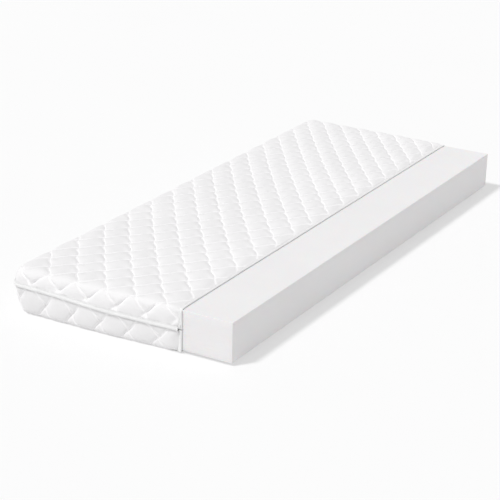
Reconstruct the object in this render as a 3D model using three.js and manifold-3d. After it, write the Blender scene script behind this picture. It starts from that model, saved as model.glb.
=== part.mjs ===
// Memory foam mattress, 80 x 200 cm and 15 cm high, with a quilted zip-off cover.
// The cover is open along one long side, where a binding closes its raw edge and
// the foam block shows. Millimetres; +X is the open side, +Y runs along the length,
// +Z is up, and the origin is the middle of the footprint on the floor.
import * as THREE from 'three';
import { mergeVertices } from 'three/addons/utils/BufferGeometryUtils.js';
import Module from 'manifold-3d';

const wasm = await Module();
wasm.setup();

// ---- driving dimensions ---------------------------------------------------------

const LENGTH = 2000;
const WIDTH = 800;
const HEIGHT = 150;
const GAP = 0.3;              // clearance between neighbouring pieces

const FLAP_PROUD = 2.5;       // the zip flap stands this far out from the ticking
const FLAP_THICK = 2.2;
const TICKING = 1.0;          // knitted outer fabric
const WADDING = 6.6;          // polyester fibre filling of the quilt
const BACKING = 0.6;          // non-woven on the inside of the quilt

const CORNER_ROUND = 34;      // cover's upright corners, in plan
const TOP_ROUND = 16;         // cover's top edge
const BASE_ROUND = 10;        // cover's bottom edge
const FOAM_CORNER = 20;       // foam corners squeezed round by the closed end of the cover

const EDGE_X = 217.4;         // bound edge of the cover
const BINDING_WIDTH = 12;
const BINDING_WALL = 0.8;
const BINDING_FACE = 1.2;     // depth of the binding's outer face: the seam is pulled in
const EDGE_THICK = 2.4;       // quilt pressed flat inside the binding

const ZIP_Z = 73;             // mid-height of the zip
const ZIP_SLOT = 8.8;         // open height between the two hems
const HEM_HEIGHT = 11.6;
const HEM_THICK = 2.7;        // ticking turned in along the zip
const TAPE_DEPTH = 3.0;
const TAPE_THICK = 0.6;
const COIL_SLIT = 1.2;        // between the two coil halves
const COIL_HEIGHT = 2.2;
const COIL_DEPTH = 2.0;
const COIL_THICK = 2.6;
const FLAP_LOW = 74.6;
const FLAP_HEIGHT = 10.4;

const TAB_WIDTH = 8;
const TAB_LOW = 76;
const TAB_HEIGHT = 16;

const SLIDER_X = 193;         // parked at the closed end, on the back run
const SLIDER_LENGTH = 11.6;
const SLIDER_HEIGHT = 8;
const SLIDER_PLATE = 1.1;
const RAIL = 0.9;
const STOP_LENGTH = 3;
const STOP_GRIP = 1.2;        // how far a stop reaches over its tape

const PIVOT_DEPTH = -1.0;     // the pull tab's hinge, outside the ticking
const LUG_WIDTH = 2;
const LUG_ROUND = 1.3;
const LUG_HOLE = 0.9;
const PULL_WIDTH = 8;
const PULL_LENGTH = 24;
const PULL_THICK = 0.8;
const PULL_WINDOW = [3.4, 3.6];

const ARC_STEPS = 6;
const WHITE = 0xf2f2f0;

// ---- dimensions that follow -----------------------------------------------------

const FACE_X = -WIDTH / 2 + FLAP_PROUD;   // ticking's outer face, closed long side
const FACE_Y = LENGTH / 2 - FLAP_PROUD;   // ticking's outer face, both short sides
const WADDING_DEPTH = TICKING + GAP;
const BACKING_DEPTH = WADDING_DEPTH + WADDING + GAP;
const CORE_DEPTH = BACKING_DEPTH + BACKING + GAP;
const QUILT_END = EDGE_X - BINDING_WIDTH - GAP;
const BEHIND_TAPE = TAPE_DEPTH + TAPE_THICK + GAP;
const TAPE_CLEAR = HEM_HEIGHT + 2 * GAP;  // from the hem to just past the tape's sewn edge
const SLOT_LOW = ZIP_Z - ZIP_SLOT / 2;
const SLOT_HIGH = ZIP_Z + ZIP_SLOT / 2;
const COIL_END = { front: QUILT_END - STOP_LENGTH - 4, back: SLIDER_X - SLIDER_LENGTH / 2 - GAP };
const STOP_X = { front: COIL_END.front + GAP, back: SLIDER_X + SLIDER_LENGTH / 2 + GAP };
const BASE_LIFT = 0.5;                    // the border starts this far above the floor
const REACH = 20;                         // how far a cutting block runs past the edge it opens

// The cover parts at the zip. Each half has its hem at the zip and a rounded edge away from it.
const UPPER = { hem: SLOT_HIGH, far: HEIGHT, up: 1, round: TOP_ROUND };
const LOWER = { hem: SLOT_LOW, far: BASE_LIFT, up: -1, round: BASE_ROUND };

// ---- solids ---------------------------------------------------------------------

function toSolid(geometry) {
  geometry.deleteAttribute('normal');
  geometry.deleteAttribute('uv');
  const merged = mergeVertices(geometry, 1e-4);
  return new wasm.Manifold(new wasm.Mesh({
    numProp: 3,
    vertProperties: new Float32Array(merged.attributes.position.array),
    triVerts: new Uint32Array(merged.index.array),
  }));
}

function toGeometry(solid) {
  const { numProp, vertProperties, triVerts } = solid.getMesh();
  const position = new Float32Array(vertProperties.length / numProp * 3);
  for (let i = 0; i < position.length / 3; i++) {
    for (let k = 0; k < 3; k++) position[3 * i + k] = vertProperties[numProp * i + k];
  }
  const geometry = new THREE.BufferGeometry();
  geometry.setAttribute('position', new THREE.BufferAttribute(position, 3));
  geometry.setIndex(new THREE.BufferAttribute(new Uint32Array(triVerts), 1));
  return geometry;
}

// A closed solid through convex rings, each { z, points: [[x, y], ...] }, listed upwards.
function loft(rings) {
  const count = rings[0].points.length;
  const position = rings.flatMap(({ z, points }) => points.flatMap(([x, y]) => [x, y, z]));
  const index = [];
  for (let r = 0; r + 1 < rings.length; r++) {
    for (let i = 0; i < count; i++) {
      const a = r * count + i;
      const b = r * count + (i + 1) % count;
      index.push(a, b, b + count, a, b + count, a + count);
    }
  }
  const top = (rings.length - 1) * count;
  for (let i = 1; i + 1 < count; i++) {
    index.push(0, i + 1, i, top, top + i, top + i + 1);
  }
  const geometry = new THREE.BufferGeometry();
  geometry.setAttribute('position', new THREE.Float32BufferAttribute(position, 3));
  geometry.setIndex(index);
  return toSolid(geometry);
}

function box([x0, y0, z0], [x1, y1, z1]) {
  const geometry = new THREE.BoxGeometry(x1 - x0, y1 - y0, z1 - z0);
  geometry.translate((x0 + x1) / 2, (y0 + y1) / 2, (z0 + z1) / 2);
  return toSolid(geometry);
}

// ---- the cover's outline --------------------------------------------------------

// Plan of the cover: open end at xEnd, two rounded corners at the closed side. With
// xStart it is a plain strip across the width of the mattress instead.
function plan(depth, corner, xEnd, xStart) {
  const halfLength = FACE_Y - depth;
  if (xStart !== undefined) {
    return [[xEnd, -halfLength], [xEnd, halfLength], [xStart, halfLength], [xStart, -halfLength]];
  }
  const points = [[xEnd, -halfLength], [xEnd, halfLength]];
  for (const side of [1, -1]) {
    for (let i = 0; i <= ARC_STEPS; i++) {
      const angle = (Math.PI / 2) * (side > 0 ? i : ARC_STEPS - i) / ARC_STEPS;
      points.push([
        FACE_X + depth + corner * (1 - Math.sin(angle)),
        side * (halfLength - corner * (1 - Math.cos(angle))),
      ]);
    }
  }
  return points;
}

// The cover's rounded outline at a depth inside the ticking's face, as a solid block
// from the height `hem` to the half's far face.
function roundedBlock(half, depth, hem, xEnd, xStart) {
  const far = half.far - half.up * depth;
  const round = half.round - depth;
  const rings = [{ z: hem, points: plan(depth, CORNER_ROUND - depth, xEnd, xStart) }];
  for (let i = 0; i <= ARC_STEPS; i++) {
    const angle = (Math.PI / 2) * i / ARC_STEPS;
    const inset = round * (1 - Math.cos(angle));
    rings.push({
      z: far - half.up * round * (1 - Math.sin(angle)),
      points: plan(depth + inset, CORNER_ROUND - depth - inset, xEnd, xStart),
    });
  }
  return loft(half.up > 0 ? rings : rings.reverse());
}

// The same outline as a straight band between two heights.
function band(depth, zLow, zHigh, xEnd) {
  const points = plan(depth, CORNER_ROUND - depth, xEnd);
  return loft([{ z: zLow, points }, { z: zHigh, points }]);
}

// The outline that follows the sharp-edged foam block.
function foamBlock(depth, zLow, zHigh, xEnd) {
  const points = plan(depth, FOAM_CORNER + CORE_DEPTH - depth, xEnd);
  return loft([{ z: zLow, points }, { z: zHigh, points }]);
}

// A band wall: from one depth in to another, between two heights.
function wall(outerDepth, innerDepth, zLow, zHigh, xEnd) {
  const inside = band(innerDepth, zLow - REACH, zHigh + REACH, xEnd + REACH);
  return band(outerDepth, zLow, zHigh, xEnd).subtract(inside);
}

// Two heights at distances from the half's hem, lowest first.
function fromHem(half, near, far) {
  const heights = [half.hem + half.up * near, half.hem + half.up * far];
  return half.up > 0 ? heights : heights.reverse();
}

// The space inside a half of the cover, to a depth: what a layer leaves for the next one.
function inside(half, depth) {
  const open = half.hem - half.up * REACH;
  const closed = half.up > 0 ? HEIGHT - depth : -REACH;
  const [zLow, zHigh] = half.up > 0 ? [open, closed] : [closed, open];
  return foamBlock(depth, zLow, zHigh, EDGE_X + REACH);
}

// ---- quilted layers -------------------------------------------------------------

function ticking(half) {
  const sheet = roundedBlock(half, 0, half.hem, QUILT_END);
  const behindSheet = roundedBlock(half, TICKING, half.hem + half.up * HEM_HEIGHT, EDGE_X);
  const behindHem = band(HEM_THICK, ...fromHem(half, -REACH, HEM_HEIGHT + 1), EDGE_X);
  const shell = sheet.subtract(behindSheet).subtract(behindHem);
  return half === LOWER ? shell.subtract(inside(half, BACKING_DEPTH - GAP)) : shell;
}

// Quilt pressed flat inside the binding, as a lip of the wadding that clears the zip tape.
function pressedEdge(half) {
  const face = BINDING_FACE + BINDING_WALL + GAP;
  const xEnd = EDGE_X - BINDING_WALL - GAP;
  const xStart = QUILT_END - BINDING_WIDTH / 2;
  const hollow = half.hem - half.up * REACH;
  const atTape = wall(0, BEHIND_TAPE, ...fromHem(half, -REACH, TAPE_CLEAR), QUILT_END + GAP);
  return roundedBlock(half, face, half.hem, xEnd, xStart)
    .subtract(roundedBlock(half, face + EDGE_THICK, hollow, EDGE_X, xStart - REACH))
    .subtract(atTape);
}

function wadding(half) {
  return roundedBlock(half, WADDING_DEPTH, half.hem + half.up * TAPE_CLEAR, QUILT_END)
    .add(band(BEHIND_TAPE, ...fromHem(half, 0, TAPE_CLEAR + 1), QUILT_END))
    .add(pressedEdge(half))
    .subtract(inside(half, BACKING_DEPTH - GAP));
}

// The upper quilt's filling is laid in two: a flat panel over the top, and the side below it.
function wholeWidth(zLow, zHigh) {
  return box([-WIDTH, -LENGTH, zLow], [WIDTH, LENGTH, zHigh]);
}

function topWadding() {
  return wadding(UPPER).intersect(wholeWidth(HEIGHT - BACKING_DEPTH + GAP, HEIGHT));
}

function sideWadding() {
  return wadding(UPPER).intersect(wholeWidth(0, HEIGHT - BACKING_DEPTH));
}

function baseWadding() {
  const sheet = foamBlock(BACKING_DEPTH, WADDING_DEPTH, BACKING_DEPTH - GAP, QUILT_END);
  return sheet.add(pressedEdge(LOWER).intersect(inside(LOWER, BACKING_DEPTH)));
}

function baseTicking() {
  return foamBlock(BACKING_DEPTH, 0, TICKING, QUILT_END);
}

function topBacking() {
  const outer = foamBlock(BACKING_DEPTH, UPPER.hem, HEIGHT - BACKING_DEPTH, QUILT_END);
  return outer.subtract(inside(UPPER, BACKING_DEPTH + BACKING));
}

function borderBacking() {
  const outer = foamBlock(BACKING_DEPTH, CORE_DEPTH, LOWER.hem, QUILT_END);
  return outer.subtract(inside(LOWER, BACKING_DEPTH + BACKING));
}

function baseBacking() {
  return foamBlock(BACKING_DEPTH, BACKING_DEPTH, BACKING_DEPTH + BACKING, QUILT_END);
}

// Folded tape over the raw edge of a half: a U in section that opens away from the foam.
// The two halves meet at the zip.
function binding(half) {
  const meet = ZIP_Z + half.up * GAP / 2;
  const past = meet - half.up * REACH;
  const slotFace = BINDING_FACE + BINDING_WALL;
  const slotBack = slotFace + EDGE_THICK + 2 * GAP;
  const webX = EDGE_X - BINDING_WALL;
  const xStart = EDGE_X - BINDING_WIDTH;
  const outer = roundedBlock(half, BINDING_FACE, meet, EDGE_X, xStart);
  const through = roundedBlock(half, slotBack + BINDING_WALL, past, EDGE_X + 1, xStart - 2);
  const slot = roundedBlock(half, slotFace, past, webX, xStart - 1)
    .subtract(roundedBlock(half, slotBack, past - half.up * REACH, webX + 1, xStart - 2));
  return outer.subtract(through).subtract(slot);
}

// ---- zip ------------------------------------------------------------------------

function zipFlap() {
  const innerDepth = FLAP_THICK - FLAP_PROUD;
  return wall(-FLAP_PROUD, innerDepth, FLAP_LOW, FLAP_LOW + FLAP_HEIGHT, QUILT_END);
}

// The tape runs from behind the hem into the slot, and stops short of its coil.
function zipTape(half) {
  const toCoil = COIL_SLIT / 2 + COIL_HEIGHT + GAP - ZIP_SLOT / 2;
  const heights = fromHem(half, toCoil, HEM_HEIGHT + GAP);
  return wall(TAPE_DEPTH, TAPE_DEPTH + TAPE_THICK, ...heights, QUILT_END);
}

function zipCoil(half) {
  const near = COIL_SLIT / 2 - ZIP_SLOT / 2;
  const [zLow, zHigh] = fromHem(half, near, near + COIL_HEIGHT);
  const loop = wall(COIL_DEPTH, COIL_DEPTH + COIL_THICK, zLow, zHigh, COIL_END.front);
  const pastSlider = box([COIL_END.back, 0, 0], [WIDTH, LENGTH, HEIGHT]);
  return loop.subtract(pastSlider);
}

// A box on the front (side -1) or back (side 1) run of the zip.
function runBox(side, [x0, x1], [depth0, depth1], [z0, z1]) {
  const ends = [side * (FACE_Y - depth0), side * (FACE_Y - depth1)].sort((a, b) => a - b);
  return box([x0, ends[0], z0], [x1, ends[1], z1]);
}

// Small clip round the edge of a tape, past the end of its coil.
function zipStop(half, side) {
  const x0 = side < 0 ? STOP_X.front : STOP_X.back;
  const jaw = GAP + RAIL;
  const near = COIL_SLIT / 2 - ZIP_SLOT / 2;
  const body = runBox(side, [x0, x0 + STOP_LENGTH],
    [TAPE_DEPTH - jaw, TAPE_DEPTH + TAPE_THICK + jaw],
    fromHem(half, near, near + COIL_HEIGHT + STOP_GRIP));
  const tapeSlot = runBox(side, [x0 - 1, x0 + STOP_LENGTH + 1],
    [TAPE_DEPTH - GAP, TAPE_DEPTH + TAPE_THICK + GAP],
    fromHem(half, near + COIL_HEIGHT, near + COIL_HEIGHT + 4));
  return body.subtract(tapeSlot);
}

// Folded fabric tab sewn over the end of the flap, on the binding.
function endTab(side) {
  const x0 = QUILT_END + GAP;
  return runBox(side, [x0, x0 + TAB_WIDTH], [-FLAP_PROUD, BINDING_FACE - GAP],
    [TAB_LOW, TAB_LOW + TAB_HEIGHT]);
}

// An outline in X and Z, extruded inwards from a depth at the back run.
function backSlab(shape, depth, thickness) {
  const geometry = new THREE.ExtrudeGeometry(shape, {
    depth: thickness, bevelEnabled: false, curveSegments: ARC_STEPS,
  });
  geometry.rotateX(Math.PI / 2);
  geometry.translate(0, FACE_Y - depth, 0);
  return toSolid(geometry);
}

function roundedOutline(x0, z0, x1, z1, r) {
  const shape = new THREE.Shape();
  shape.moveTo(x0 + r, z0);
  shape.lineTo(x1 - r, z0);
  shape.absarc(x1 - r, z0 + r, r, -Math.PI / 2, 0);
  shape.lineTo(x1, z1 - r);
  shape.absarc(x1 - r, z1 - r, r, 0, Math.PI / 2);
  shape.lineTo(x0 + r, z1);
  shape.absarc(x0 + r, z1 - r, r, Math.PI / 2, Math.PI);
  shape.lineTo(x0, z0 + r);
  shape.absarc(x0 + r, z0 + r, r, Math.PI, Math.PI * 3 / 2);
  return shape;
}

// Eye that carries the pull tab, standing out from the slider's front plate.
function sliderLug(plateDepth) {
  const shape = new THREE.Shape();
  const reach = PIVOT_DEPTH - plateDepth;
  shape.moveTo(reach, -LUG_ROUND);
  shape.lineTo(0, -LUG_ROUND);
  shape.absarc(0, 0, LUG_ROUND, -Math.PI / 2, Math.PI / 2);
  shape.lineTo(reach, LUG_ROUND);
  const eye = new THREE.Path();
  eye.absarc(0, 0, LUG_HOLE, 0, Math.PI * 2);
  shape.holes.push(eye);
  const geometry = new THREE.ExtrudeGeometry(shape, {
    depth: LUG_WIDTH, bevelEnabled: false, curveSegments: 2 * ARC_STEPS,
  });
  const outward = new THREE.Vector3(0, 1, 0);
  const upward = new THREE.Vector3(0, 0, 1);
  const along = new THREE.Vector3(1, 0, 0);
  geometry.applyMatrix4(new THREE.Matrix4().makeBasis(outward, upward, along));
  geometry.translate(SLIDER_X - LUG_WIDTH / 2, FACE_Y - PIVOT_DEPTH, ZIP_Z);
  return toSolid(geometry);
}

// Two plates over the coils, joined by a post in the slit, with rails that grip the coils.
function sliderBody() {
  const frontFace = COIL_DEPTH - GAP - SLIDER_PLATE;
  const coilBack = COIL_DEPTH + COIL_THICK + GAP;
  const x0 = SLIDER_X - SLIDER_LENGTH / 2;
  const x1 = SLIDER_X + SLIDER_LENGTH / 2;
  const z0 = ZIP_Z - SLIDER_HEIGHT / 2;
  const z1 = ZIP_Z + SLIDER_HEIGHT / 2;
  const outline = roundedOutline(x0, z0, x1, z1, 2);
  const overlap = 0.2;
  let body = backSlab(outline, frontFace, SLIDER_PLATE).add(backSlab(outline, coilBack, SLIDER_PLATE));
  for (const [railLow, railHigh] of [[z0, z0 + RAIL], [z1 - RAIL, z1]]) {
    const ends = [x0 + 2, x1 - 2];
    const frontRail = [frontFace + SLIDER_PLATE - overlap, frontFace + SLIDER_PLATE + RAIL];
    const backRail = [coilBack - RAIL, coilBack + overlap];
    body = body.add(runBox(1, ends, frontRail, [railLow, railHigh]));
    body = body.add(runBox(1, ends, backRail, [railLow, railHigh]));
  }
  const postHalf = COIL_SLIT / 2 - GAP;
  body = body.add(runBox(1, [x1 - 3, x1 - 1], [frontFace + overlap, coilBack + overlap],
    [ZIP_Z - postHalf, ZIP_Z + postHalf]));
  return body.add(sliderLug(frontFace + overlap));
}

// Flat tab with a window: its top bar lies in the slider's eye and the tab hangs from it.
function pullTab() {
  const bar = PULL_THICK / 2;
  const top = ZIP_Z + bar;
  const shape = roundedOutline(SLIDER_X - PULL_WIDTH / 2, top - PULL_LENGTH,
    SLIDER_X + PULL_WIDTH / 2, top, bar);
  const [windowWidth, windowHeight] = PULL_WINDOW;
  const window = new THREE.Path();
  window.moveTo(SLIDER_X - windowWidth / 2, ZIP_Z - bar);
  window.lineTo(SLIDER_X - windowWidth / 2, ZIP_Z - bar - windowHeight);
  window.lineTo(SLIDER_X + windowWidth / 2, ZIP_Z - bar - windowHeight);
  window.lineTo(SLIDER_X + windowWidth / 2, ZIP_Z - bar);
  window.closePath();
  shape.holes.push(window);
  return backSlab(shape, PIVOT_DEPTH - bar, PULL_THICK);
}

// ---- foam -----------------------------------------------------------------------

function foamCore() {
  return foamBlock(CORE_DEPTH, CORE_DEPTH, HEIGHT - CORE_DEPTH, WIDTH / 2);
}

// ---- assembly -------------------------------------------------------------------

function fabric(color, roughness = 0.9) {
  return { color, roughness, metalness: 0 };
}

function piece(name, solid, material) {
  const mesh = new THREE.Mesh(toGeometry(solid), new THREE.MeshStandardMaterial(material));
  mesh.name = name;
  return mesh;
}

function lowerCover() {
  const group = new THREE.Group();
  group.add(
    piece('base_ticking', baseTicking(), fabric(WHITE)),
    piece('base_wadding', baseWadding(), fabric(0xfafafa, 1)),
    piece('base_backing', baseBacking(), fabric(0xe9e9e6)),
    piece('border_ticking', ticking(LOWER), fabric(WHITE)),
    piece('border_wadding', wadding(LOWER), fabric(0xfafafa, 1)),
    piece('border_backing', borderBacking(), fabric(0xe9e9e6)),
    piece('lower_binding', binding(LOWER), fabric(0xf7f7f6, 0.8)),
    piece('lower_zip_tape', zipTape(LOWER), fabric(0xdcdcda, 0.85)),
    piece('lower_zip_coil', zipCoil(LOWER), fabric(0xcfcfce, 0.45)),
    piece('front_lower_stop', zipStop(LOWER, -1), fabric(0xdededc, 0.5)),
    piece('back_lower_stop', zipStop(LOWER, 1), fabric(0xdededc, 0.5)),
  );
  return group;
}

function upperCover() {
  const group = new THREE.Group();
  group.add(
    piece('top_ticking', ticking(UPPER), fabric(WHITE)),
    piece('top_wadding', topWadding(), fabric(0xfafafa, 1)),
    piece('side_wadding', sideWadding(), fabric(0xfafafa, 1)),
    piece('top_backing', topBacking(), fabric(0xe9e9e6)),
    piece('upper_binding', binding(UPPER), fabric(0xf7f7f6, 0.8)),
    piece('zip_flap', zipFlap(), fabric(0xf5f5f4, 0.85)),
    piece('front_end_tab', endTab(-1), fabric(0xf0f0ee, 0.85)),
    piece('back_end_tab', endTab(1), fabric(0xf0f0ee, 0.85)),
    piece('upper_zip_tape', zipTape(UPPER), fabric(0xdcdcda, 0.85)),
    piece('upper_zip_coil', zipCoil(UPPER), fabric(0xcfcfce, 0.45)),
    piece('front_upper_stop', zipStop(UPPER, -1), fabric(0xdededc, 0.5)),
    piece('back_upper_stop', zipStop(UPPER, 1), fabric(0xdededc, 0.5)),
  );
  return group;
}

function slider() {
  const group = new THREE.Group();
  group.add(
    piece('slider_body', sliderBody(), { color: 0xe4e4e2, roughness: 0.35, metalness: 0.3 }),
    piece('pull_tab', pullTab(), { color: 0xe4e4e2, roughness: 0.35, metalness: 0.3 }),
  );
  return group;
}

const mattress = new THREE.Group();
mattress.add(lowerCover(), upperCover(), slider());
mattress.add(piece('foam_core', foamCore(), fabric(0xe9e8e9, 0.95)));

export default mattress;
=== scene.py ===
"""Looks of the memory foam mattress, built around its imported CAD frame.

Lengths are in millimetres while a piece is shaped, and in metres once it is a mesh.
"Depth" is how far a point lies inside the outer face of the cover's ticking.
"""

import math

import bpy
import numpy as np
from mathutils import Matrix, Vector


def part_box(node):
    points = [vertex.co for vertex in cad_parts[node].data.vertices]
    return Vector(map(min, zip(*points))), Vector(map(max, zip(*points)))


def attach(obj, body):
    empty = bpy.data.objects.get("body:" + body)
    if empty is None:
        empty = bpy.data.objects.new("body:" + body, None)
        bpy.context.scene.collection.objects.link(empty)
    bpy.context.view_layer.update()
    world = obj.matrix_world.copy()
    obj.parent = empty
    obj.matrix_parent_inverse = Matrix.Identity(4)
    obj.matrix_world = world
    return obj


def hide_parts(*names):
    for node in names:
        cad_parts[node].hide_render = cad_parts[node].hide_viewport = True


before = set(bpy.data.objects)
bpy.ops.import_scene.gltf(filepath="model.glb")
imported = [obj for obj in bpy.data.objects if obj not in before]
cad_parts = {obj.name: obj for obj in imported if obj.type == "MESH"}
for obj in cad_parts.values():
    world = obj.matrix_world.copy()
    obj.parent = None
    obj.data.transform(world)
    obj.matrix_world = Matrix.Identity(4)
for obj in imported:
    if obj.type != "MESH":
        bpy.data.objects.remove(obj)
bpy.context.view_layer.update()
scene = bpy.context.scene
rng = np.random.default_rng(11)
PI = math.pi


def extent(node):
    low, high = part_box(node)
    return np.array(low) * 1000, np.array(high) * 1000


# ---- sizes taken from the frame ----

TOP_LOW, TOP_HIGH = extent("top_ticking")
BORDER_LOW, BORDER_HIGH = extent("border_ticking")
FOAM_LOW, FOAM_HIGH = extent("foam_core")
FLAP_TOP = extent("zip_flap")[1][2]
EDGE_X = extent("upper_binding")[1][0]

FACE_X = TOP_LOW[0]
FACE_Y = TOP_HIGH[1]
HEIGHT = TOP_HIGH[2]
UPPER_HEM = TOP_LOW[2]
LOWER_HEM = BORDER_HIGH[2]
BASE_Z = BORDER_LOW[2]
QUILT_END = TOP_HIGH[0]

CORNER = 34.0           # round of the cover's upright corners, in plan
TOP_ROUND = 16.0        # round of its top edges
BASE_ROUND = 10.0       # and of its bottom ones
CORNER_X = FACE_X + CORNER
CORNER_Y = FACE_Y - CORNER
BASE_INSET = 8.4        # the base panel's edge lies this far inside the walls
BINDING_START = EDGE_X - 12.0
BOUND_DEPTH = 5.2       # the quilt is drawn in this far where the binding holds it
BY_ZIP_DEPTH = 0.4      # and this far there beside the zip

# ---- quilting ----

SEAM_DEPTH = 5.0        # the quilt's seams lie this far in
CROSSING_DEPTH = 1.3    # and this much more where two seams cross
CREST = 1.7             # the puffs stand this far out
SEAM_WAVE = 0.03        # how far a seam waves, in diamonds
PRESSURE = 4.0          # of the simulation that swells the puffs
SLACK = 0.03            # share of a puff's width that its cloth has in hand
CAP = 1.7               # no point is moved further than this
STEPS = np.array([0, 0.05, 0.15, 0.30, 0.50, 0.70, 0.85, 0.95])     # rows of points across a diamond


# ---- camera ----

def add_camera():
    """Solved on the photo's perspective: turned in degrees, placed in metres."""
    azimuth, elevation, roll = (math.radians(a) for a in (29.313, 21.089, 1.557))
    forward = np.array([
        -math.sin(azimuth) * math.cos(elevation),
        math.cos(azimuth) * math.cos(elevation),
        -math.sin(elevation),
    ])
    level = np.array([math.cos(azimuth), math.sin(azimuth), 0.0])
    upright = np.cross(level, forward)
    right = level * math.cos(roll) + upright * math.sin(roll)
    up = upright * math.cos(roll) - level * math.sin(roll)
    data = bpy.data.cameras.new("camera")
    data.sensor_width = 36.0
    data.lens = 119.44
    data.clip_end = 50.0
    camera = bpy.data.objects.new("camera", data)
    scene.collection.objects.link(camera)
    turn = Matrix((right, up, -forward)).transposed().to_4x4()
    camera.matrix_world = Matrix.Translation((2.6408, -4.8884, 2.1087)) @ turn
    scene.camera = camera


add_camera()


# ---- mesh helpers ----

def make_object(name, points, faces, smooth=True):
    """A mesh object from points in millimetres."""
    mesh = bpy.data.meshes.new(name)
    mesh.from_pydata((np.asarray(points) * 0.001).tolist(), [], [tuple(f) for f in faces])
    mesh.validate()
    mesh.polygons.foreach_set("use_smooth", [smooth] * len(mesh.polygons))
    mesh.update()
    obj = bpy.data.objects.new(name, mesh)
    scene.collection.objects.link(obj)
    return obj


def strips(rows, columns, around=False):
    """Quads of a grid of points listed row by row; `around` joins the last column to the first."""
    r = np.arange(rows - 1)[:, None]
    c = np.arange(columns if around else columns - 1)[None, :]
    a = r * columns + c
    b = r * columns + (c + 1) % columns
    return np.stack([a, b, b + columns, a + columns], -1).reshape(-1, 4).tolist()


def tube(rows, columns):
    """Faces of a tube of points listed ring by ring, with both its ends shut."""
    first = list(range(columns))
    last = [i + (rows - 1) * columns for i in first]
    return strips(rows, columns, around=True) + [first[::-1], last]


def flipped(faces):
    return [face[::-1] for face in faces]


def open_edges(faces):
    """The edges (from, to) that only one face has."""
    once = {}
    for face in faces:
        for a, b in zip(face, face[1:] + face[:1]):
            key = (min(a, b), max(a, b))
            once[key] = None if key in once else (a, b)
    return [edge for edge in once.values() if edge is not None]


def shell(name, outer, inner, faces):
    """A closed layer between two surfaces that share their faces."""
    count = len(outer)
    sides = [[b, a, a + count, b + count] for a, b in open_edges(faces)]
    backs = [[i + count for i in face] for face in flipped(faces)]
    return make_object(name, np.concatenate([outer, inner]), faces + backs + sides)


def read_points(obj):
    """The points of an object's mesh, in millimetres."""
    flat = np.zeros(3 * len(obj.data.vertices))
    obj.data.vertices.foreach_get("co", flat)
    return flat.reshape(-1, 3) * 1000


def write_points(obj, points):
    obj.data.vertices.foreach_set("co", points.ravel() / 1000)
    obj.data.update()


def soften(obj):
    modifier = obj.modifiers.new("subdivision", "SUBSURF")
    modifier.levels = modifier.render_levels = 1
    modifier.boundary_smooth = "PRESERVE_CORNERS"


# ---- the cover's surfaces ----

def bent(e, radius):
    """Angle round an edge of that radius, and the way left after it, for a distance e past its start."""
    angle = np.clip(e / radius, 0, PI / 2)
    return angle, np.maximum(e - radius * PI / 2, 0)


def half_corner(angle):
    """Width of cloth from a wall's end to the dart at 45 degrees, while the edge turns down."""
    flat = CORNER - TOP_ROUND
    return flat + (CORNER * PI / 4 - flat) * np.sin(angle)


def top_surface(x, y, depth, corner=CORNER, rounding=TOP_ROUND):
    """The upper quilt's flat cloth (x, y) laid over the mattress: top, rounded edge and walls."""
    flat = corner - rounding
    centre_x, centre_y = FACE_X + corner, FACE_Y - corner
    side = np.sign(y)
    past_x, past_y = centre_x - x, np.abs(y) - centre_y
    front = past_y >= past_x
    main, other = np.where(front, past_y, past_x), np.where(front, past_x, past_y)
    angle, drop = bent(main - flat, rounding)
    reach = np.where(main > flat, half_corner(angle), np.maximum(main, 1e-6))
    turn = PI / 4 * np.clip(other / reach, 0, 1)
    turn = np.where(front, turn, PI / 2 - turn)
    radius = np.where(main > flat, flat + rounding * np.sin(angle), main) - depth * np.sin(angle)
    in_corner = (past_x > 0) & (past_y > 0)
    by_front = front & ~in_corner & (past_y > 0)
    by_left = ~front & ~in_corner & (past_x > 0)
    out_x = np.where(in_corner, centre_x - radius * np.sin(turn), np.where(by_left, centre_x - radius, x))
    out_y = np.where(in_corner, side * (centre_y + radius * np.cos(turn)),
                     np.where(by_front, side * (centre_y + radius), y))
    out_z = HEIGHT - rounding * (1 - np.cos(angle)) - drop - depth * np.cos(angle)
    return np.stack([out_x, out_y, out_z], -1)


FRONT_RUN = QUILT_END - CORNER_X
CORNER_ARC = CORNER * PI / 2
SIDE_RUN = 2 * CORNER_Y
PERIMETER = 2 * FRONT_RUN + 2 * CORNER_ARC + SIDE_RUN


def wall_surface(p, z, depth, tuck=0.0, corner=CORNER):
    """A point on the wall, p along it from the open front end; tuck is the angle round the bottom edge."""
    arc, side_run = corner * PI / 2, 2 * (FACE_Y - corner)
    q = p - (QUILT_END - FACE_X - corner)
    q2 = q - arc - side_run
    turn = np.clip(q / corner, 0, PI / 2) + np.clip(q2 / corner, 0, PI / 2)
    centre_x = FACE_X + corner + np.maximum(-q, 0) + np.maximum(q2 - arc, 0)
    centre_y = corner - FACE_Y + np.clip(q - arc, 0, side_run)
    radius = corner - BASE_ROUND * (1 - np.cos(tuck)) - depth * np.cos(tuck)
    return np.stack(np.broadcast_arrays(
        centre_x - radius * np.sin(turn),
        centre_y - radius * np.cos(turn),
        z - BASE_ROUND * np.sin(tuck) + depth * np.sin(tuck),
    ), -1)


def border_surface(p, h, depth):
    """The border's flat cloth: p along the wall, h down from its hem."""
    wall = LOWER_HEM - BASE_Z - BASE_ROUND
    tuck, _ = bent(h - wall, BASE_ROUND)
    return wall_surface(p, LOWER_HEM - np.minimum(h, wall), depth, tuck)


def smooth(value):
    value = np.clip(value, 0, 1)
    return value * value * (3 - 2 * value)


SIDE_BULGE, FRONT_BULGE = 10.0, 12.0
BULGE_REACH = 60.0      # the bulges are gone this far behind their walls
ZIP_RISE = 14.0         # the zip climbs this much to the closed front corner
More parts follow.
